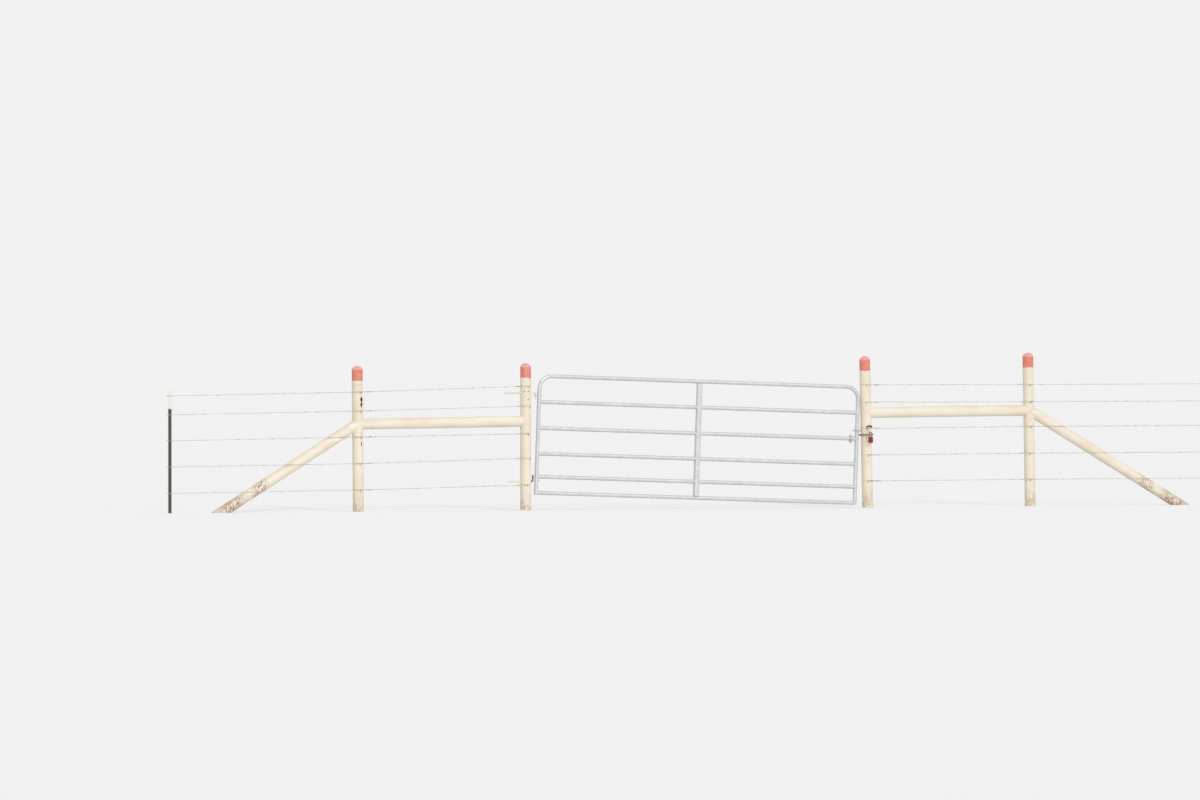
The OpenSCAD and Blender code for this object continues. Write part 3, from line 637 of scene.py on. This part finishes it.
def twistedTail(post, z, turn):
    start = onSkin(post, turn, z + tie["rise"], 2 * tie["wire"] + tail["clear"])
    out = Vector((math.cos(math.radians(turn)), math.sin(math.radians(turn)), 0))
    way = (out * tail["lean"] + Vector((0, 0, -1))).normalized()
    steps = tail["twists"] * tail["steps"]
    return [[coilPlace(start + way * (tail["length"] * i / steps), way,
                       phase + 2 * math.pi * i / tail["steps"], tail["wire"]) for i in range(steps + 1)]
            for phase in (0, math.pi)]


for side, (bracePost, gatePost) in sides.items():
    tails = []
    for heights in strand[side]:
        for post, z in ((bracePost, heights[1]), (gatePost, heights[2])):
            turn = tail["turn"][side] + dice.uniform(-tail["uneven"], tail["uneven"])
            tails += twistedTail(post, z, turn)
    placed(bentWire(tails, tail["wire"], 6), side + "_tie_tails", tailZinc, "gateway")

# What is left of an older tie, rusted brown, still grips the latch post above the chain: a loop of
# wire laid to and fro round its right half, riding up over the strand's tie, with one end hanging
oldTie = {
    "wire": 0.0026, "z": 0.8435, "passes": 3, "rise": 0.0056, "lift": 0.0045, "turns": (-106, 128),
    "steps": 60, "hump": 0.012, "humpTurn": -78, "humpWide": 30, "bend": 2.6, "bendSteps": 8,
    "end": [(-104, 0.8425, 0.0045), (-99, 0.8415, 0.0045), (-96, 0.838, 0.0045), (-95, 0.832, 0.003),
            (-95, 0.823, 0.002)],
}
proud = oldTie["wire"] + oldTie["lift"]
level = oldTie["z"] + oldTie["rise"] * (oldTie["passes"] - 1)
run = []
for count in range(oldTie["passes"]):
    first, last = oldTie["turns"] if count % 2 else reversed(oldTie["turns"])
    for i in range(oldTie["steps"] + 1):
        turn = first + (last - first) * i / oldTie["steps"]
        hump = oldTie["hump"] * math.exp(-((turn - oldTie["humpTurn"]) / oldTie["humpWide"]) ** 2)
        run.append(onSkin("latch", turn, level + hump, proud))
    # The wire turns back on itself in a tight bend
    bend = math.copysign(oldTie["bend"], last - first)
    drop = oldTie["rise"] if count < oldTie["passes"] - 1 else level - oldTie["end"][0][1]
    for i in range(1, oldTie["bendSteps"]):
        angle = math.pi * i / oldTie["bendSteps"]
        run.append(onSkin("latch", turn + bend * math.sin(angle),
                          level + hump - drop * (1 - math.cos(angle)) / 2, proud))
    level -= oldTie["rise"]
run += [onSkin("latch", turn, z, oldTie["wire"] + lift) for turn, z, lift in oldTie["end"]]
placed(bentWire([run], oldTie["wire"], 8), "old_tie", rustySteel, "gateway")
print("wire ties made")


# Welds: a rippled bead along each joint, under the paint or the zinc
weld = {
    "pipeBead": 0.0045, "pipeSteps": 90, "tubeBead": 0.0024, "tubeSteps": 48, "capBead": 0.0022,
    "capSteps": 72, "capSunk": 0.0004, "capUneven": 0.0004, "ripple": 0.16, "ripplePace": 2.1, "uneven": 0.08,
}


# Where a round bar from start along way comes out through the skin of a post
def saddle(start, way, radius, postFoot, postWay, postRadius, steps):
    way = way.normalized()
    across = Vector((0, 1, 0))
    over = way.cross(across).normalized()
    flatWay = way - postWay * way.dot(postWay)
    ring = []
    for i in range(steps):
        turn = 2 * math.pi * i / steps
        spot = start + across * (radius * math.cos(turn)) + over * (radius * math.sin(turn))
        gap = spot - postFoot
        gap -= postWay * gap.dot(postWay)
        a, b, c = flatWay.dot(flatWay), gap.dot(flatWay), gap.dot(gap) - postRadius ** 2
        ring.append(spot + way * ((-b + math.sqrt(max(0.0, b * b - a * c))) / a))
    return ring


def rippled(run):
    return [(spot, 1.0 + weld["ripple"] * math.sin(weld["ripplePace"] * i)
             + dice.uniform(-weld["uneven"], weld["uneven"])) for i, spot in enumerate(run)]


def pipeWeld(post, start, way):
    return rippled(saddle(start, way, pipe, *postLine(post), pipe, weld["pipeSteps"]))


beads = []
for leftPost, leftZ, rightPost, rightZ in gateway["rails"]:
    leftEnd = Vector((postX(leftPost, leftZ), 0, leftZ))
    rightEnd = Vector((postX(rightPost, rightZ), 0, rightZ))
    beads.append(pipeWeld(leftPost, leftEnd, rightEnd - leftEnd))
    beads.append(pipeWeld(rightPost, rightEnd, leftEnd - rightEnd))
for post, z, slope, side in gateway["diagonals"]:
    down = Vector((side * math.cos(math.radians(slope)), 0, -math.sin(math.radians(slope))))
    beads.append(pipeWeld(post, Vector((postX(post, z), 0, z)), down))
placed(bentWire(beads, weld["pipeBead"], 8, closed=True), "brace_welds", railEnamel, "gateway")

for post, prefix in nodeNames.items():
    foot, up = postLine(post)
    lean = math.radians(gateway["leans"][post])
    seat = gateway["tops"][post] / math.cos(lean) - gateway["capHeight"]
    deselectAll()
    bpy.ops.mesh.primitive_torus_add(major_segments=weld["capSteps"], minor_segments=8,
                                     major_radius=pipe - weld["capSunk"], minor_radius=weld["capBead"],
                                     location=foot + up * seat, rotation=(0, -lean, 0))
    bead = bpy.context.object
    bpy.ops.object.mode_set(mode="EDIT")
    bpy.ops.mesh.select_all(action="SELECT")
    bpy.ops.transform.vertex_random(offset=weld["capUneven"], seed=3)
    bpy.ops.object.mode_set(mode="OBJECT")
    placed(bead, prefix + "_cap_weld", capEnamel[post], "gateway", smooth=60)

outWay = (leafPlace(1, 0) - leafPlace(0, 0)).normalized()
upWay = (leafPlace(0, 1) - leafPlace(0, 0)).normalized()
beads = []
for w in leaf["rails"]:
    for u, way in ((0, 1), (leaf["length"], -1)):
        beads.append(rippled(saddle(leafPlace(u, w), outWay * way, tube, leafPlace(u, 0), upWay, tube,
                                    weld["tubeSteps"])))
placed(bentWire(beads, weld["tubeBead"], 6, closed=True), "gate_welds", zincTube, "gate")

# The stay's sides are cut to fit over the rails and welded along the cut
stay = {"width": 0.054, "front": -0.02375, "back": 0.01925, "beadShort": 0.002, "beadOut": 0.0006,
        "beadSteps": 30, "endShare": 0.9}
edge = math.asin((stay["back"] - stay["beadShort"]) / tube)
beads = []
for w in leaf["rails"] + [leaf["height"]]:
    inside = 0 < w < leaf["height"]
    first, last = (-math.pi - edge, edge) if inside else (-stay["endShare"] * edge, stay["endShare"] * edge)
    facing = -1 if w == leaf["height"] else 1
    for side in (-1, 1):
        u = leaf["length"] / 2 + side * (stay["width"] / 2 + stay["beadOut"])
        turns = [first + (last - first) * i / stay["beadSteps"] for i in range(stay["beadSteps"] + 1)]
        beads.append(rippled([leafPlace(u, w + facing * tube * math.cos(turn), tube * math.sin(turn))
                              for turn in turns]))
placed(bentWire(beads, weld["tubeBead"], 6), "stay_welds", zincTube, "gate")
print("welds made")

# A pressed rib runs down the stay's face
pressedRib = {"radius": 0.004, "proud": 0.0016, "aside": 0.007, "short": 0.05, "bevel": 0.0012, "sunk": 0.001}
deselectAll()
bpy.ops.mesh.primitive_cylinder_add(
    vertices=16, radius=pressedRib["radius"], depth=leaf["height"] - 2 * tube - pressedRib["short"],
    location=leafPlace(leaf["length"] / 2 + pressedRib["aside"], leaf["height"] / 2,
                       stay["front"] + pressedRib["radius"] - pressedRib["proud"]),
    rotation=(0, math.radians(leaf["sag"]), 0))
rib = bpy.context.object
bpy.ops.object.transform_apply(location=True, rotation=True, scale=True)
bpy.ops.object.mode_set(mode="EDIT")
bpy.ops.mesh.select_all(action="SELECT")
bpy.ops.mesh.bevel(offset=pressedRib["bevel"], segments=2, affect="EDGES")
bpy.ops.mesh.select_all(action="SELECT")
bpy.ops.mesh.bisect(plane_co=(0, stay["front"] + pressedRib["sunk"], 0), plane_no=(0, 1, 0), use_fill=True,
                    clear_outer=True)
bpy.ops.object.mode_set(mode="OBJECT")
placed(rib, "stay_rib", zincTube, "gate")

# Hinge bolts: nuts with their corners chamfered, and threads on the bolts' ends
hingeNuts = {"across": 0.024, "height": 0.013, "chamfer": 0.0018}
eyeNuts = {"across": 0.017, "height": 0.013, "chamfer": 0.0013}
hookThread = {"radius": 0.008, "pitch": 0.0025, "steps": 12, "wire": 0.0007, "bare": 0.002}
eyeThread = {"radius": 0.005, "pitch": 0.0016, "steps": 12, "wire": 0.0005, "bare": 0.001, "end": 0.006}


def chamferedNut(sizes, middle, tilt):
    deselectAll()
    bpy.ops.mesh.primitive_cylinder_add(vertices=6, radius=sizes["across"] / 2 / math.cos(math.pi / 6),
                                        depth=sizes["height"], location=middle,
                                        rotation=(0, math.pi / 2 + tilt, 0))
    nut = bpy.context.object
    for face in nut.data.polygons:
        face.select = len(face.vertices) == 6
    bpy.ops.object.mode_set(mode="EDIT")
    bpy.ops.mesh.select_mode(type="FACE")
    bpy.ops.mesh.region_to_loop()
    bpy.ops.mesh.bevel(offset=sizes["chamfer"], segments=2, affect="EDGES")
    bpy.ops.object.mode_set(mode="OBJECT")
    return nut


def threadRun(thread, start, way, length):
    steps = int(length / thread["pitch"] * thread["steps"])
    return [coilPlace(start + way * (length * i / steps), way, 2 * math.pi * i / thread["steps"],
                      thread["radius"]) for i in range(steps + 1)]


nutMiddle = -pipe - gateway["fit"] - hingeNuts["height"] / 2
nuts = [chamferedNut(hingeNuts, (nutMiddle, 0, hook["z"]), 0.0) for hook in gateway["hooks"].values()]
placed(joined(nuts), "hinge_nuts", hookEnamel, "gateway", replaces=["hinge_hook_nuts"],
       smooth=25)
eyeHeights = (leaf["lowerEye"], leaf["upperEye"])
nutMiddle = tube + gateway["fit"] + eyeNuts["height"] / 2
nuts = [chamferedNut(eyeNuts, leafPlace(nutMiddle, w), math.radians(leaf["sag"])) for w in eyeHeights]
placed(joined(nuts), "eye_nuts", zincTube, "gate", replaces=["hinge_eye_nuts"], smooth=25)

hookPaints = {"upper": (hookEnamel, "white_paint"), "lower": (wornHook, "rusty_steel")}
for name, hook in gateway["hooks"].items():
    run = threadRun(hookThread, Vector((-pipe - hook["tail"] + hookThread["bare"], 0, hook["z"])),
                    Vector((1, 0, 0)), hook["tail"] - hingeNuts["height"] - 2 * hookThread["bare"])
    paint, slot = hookPaints[name]
    placed(bentWire([run], hookThread["wire"], 4), name + "_hook_thread", paint, "gateway")
runs = [threadRun(eyeThread, leafPlace(tube + gateway["fit"] + eyeNuts["height"], w), outWay,
                  eyeThread["end"] - eyeThread["bare"]) for w in eyeHeights]
placed(bentWire(runs, eyeThread["wire"], 4), "eye_bolt_threads", zincTube, "gate")
print("hinge nuts and threads made")

# Padlock: the plug that the key goes in, under its body
keyPlug = {"radius": 0.0065, "proud": 0.0012, "sunk": 0.0006, "rim": 0.0008, "dish": 0.0004, "ring": 0.0012,
           "slotLong": 0.008, "slotWide": 0.0016, "slotDeep": 0.0014}
low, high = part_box("padlock")
deselectAll()
bpy.ops.mesh.primitive_cylinder_add(vertices=28, radius=keyPlug["radius"], depth=2 * keyPlug["proud"],
                                    location=((low[0] + high[0]) / 2, (low[1] + high[1]) / 2,
                                              low[2] + keyPlug["sunk"]))
plug = bpy.context.object
for face in plug.data.polygons:
    face.select = face.normal.z < -0.9
bpy.ops.object.mode_set(mode="EDIT")
bpy.ops.mesh.select_mode(type="FACE")
bpy.ops.mesh.inset(thickness=keyPlug["rim"])
bpy.ops.transform.translate(value=(0, 0, -keyPlug["dish"]))
bpy.ops.mesh.inset(thickness=keyPlug["ring"])
across = 2 * (keyPlug["radius"] - keyPlug["rim"] - keyPlug["ring"])
bpy.ops.transform.resize(value=(keyPlug["slotLong"] / across, keyPlug["slotWide"] / across, 1))
bpy.ops.mesh.extrude_region_move(TRANSFORM_OT_translate={"value": (0, 0, keyPlug["slotDeep"])})
bpy.ops.object.mode_set(mode="OBJECT")
placed(plug, "padlock_key_plug", rustyPadlock, "gateway")
print("padlock finished")


# Floor, light and camera
studio = {
    "floorReach": 900.0, "floorLow": 0.001, "floorGrey": "#E5E5E5", "floorRoughness": 0.9,
    "floorGlow": 0.227, "skyLight": 0.62, "skySeen": 0.88,
    "sunTurn": -2.0, "sunHeight": 24.0, "sunStrength": 1.36, "sunAngle": 9.0,
}
white = (1, 1, 1, 1)


# 1 for a ray of one of these kinds, else 0
def raysOf(paint, kinds):
    rays = addNode(paint, "LightPath").outputs
    found = rays[kinds[0]]
    for kind in kinds[1:]:
        found = addNode(paint, "Math", {0: found, 1: rays[kind]}, operation="MAXIMUM").outputs[0]
    return found


deselectAll()
bpy.ops.mesh.primitive_plane_add(size=2 * studio["floorReach"], location=(0, 0, -studio["floorLow"]))
floor = bpy.context.object
floor.name = "studio_floor"
floorPaint, floorShader = newPaint("paleStudioFloor", studio["floorGrey"], studio["floorRoughness"])[:2]
floorShader.inputs["Emission Color"].default_value = white
seen = raysOf(floorPaint, ["Is Camera Ray", "Is Glossy Ray"])
glow = addNode(floorPaint, "Math", {0: seen, 1: studio["floorGlow"]}, operation="MULTIPLY")
floorPaint.node_tree.links.new(glow.outputs[0], floorShader.inputs["Emission Strength"])
floor.data.materials.append(floorPaint)

sky = bpy.data.worlds.new("studioSky")
bpy.context.scene.world = sky
sky.use_nodes = True
seen = raysOf(sky, ["Is Camera Ray", "Is Glossy Ray", "Is Transmission Ray"])
strength = addNode(sky, "MapRange", {"Value": seen, "To Min": studio["skyLight"],
                                     "To Max": studio["skySeen"]})
background = sky.node_tree.nodes["Background"]
background.inputs["Color"].default_value = white
sky.node_tree.links.new(strength.outputs["Result"], background.inputs["Strength"])


def direction(turn, height):
    turn, height = math.radians(turn), math.radians(height)
    return Vector((math.sin(turn) * math.cos(height), -math.cos(turn) * math.cos(height), math.sin(height)))


bpy.ops.object.light_add(type="SUN", location=(0, -20, 20))
sun = bpy.context.object
sun.data.energy = studio["sunStrength"]
sun.data.angle = math.radians(studio["sunAngle"])
sun.rotation_mode = "QUATERNION"
sun.rotation_quaternion = (-direction(studio["sunTurn"], studio["sunHeight"])).to_track_quat("-Z", "Y")

view = {"target": (0.846, 0.0, 1.150), "turn": -23.0, "height": 0.7, "distance": 157.4, "lens": 450.0,
        "sensor": 36.0, "farthest": 2000.0}
back = direction(view["turn"], view["height"])
bpy.ops.object.camera_add(location=Vector(view["target"]) + back * view["distance"])
camera = bpy.context.object
camera.rotation_mode = "QUATERNION"
camera.rotation_quaternion = (-back).to_track_quat("-Z", "Y")
camera.data.sensor_width = view["sensor"]
camera.data.lens = view["lens"]
camera.data.clip_end = view["farthest"]
bpy.context.scene.camera = camera
bpy.context.scene.view_settings.view_transform = "Standard"
print("floor, light and camera set")
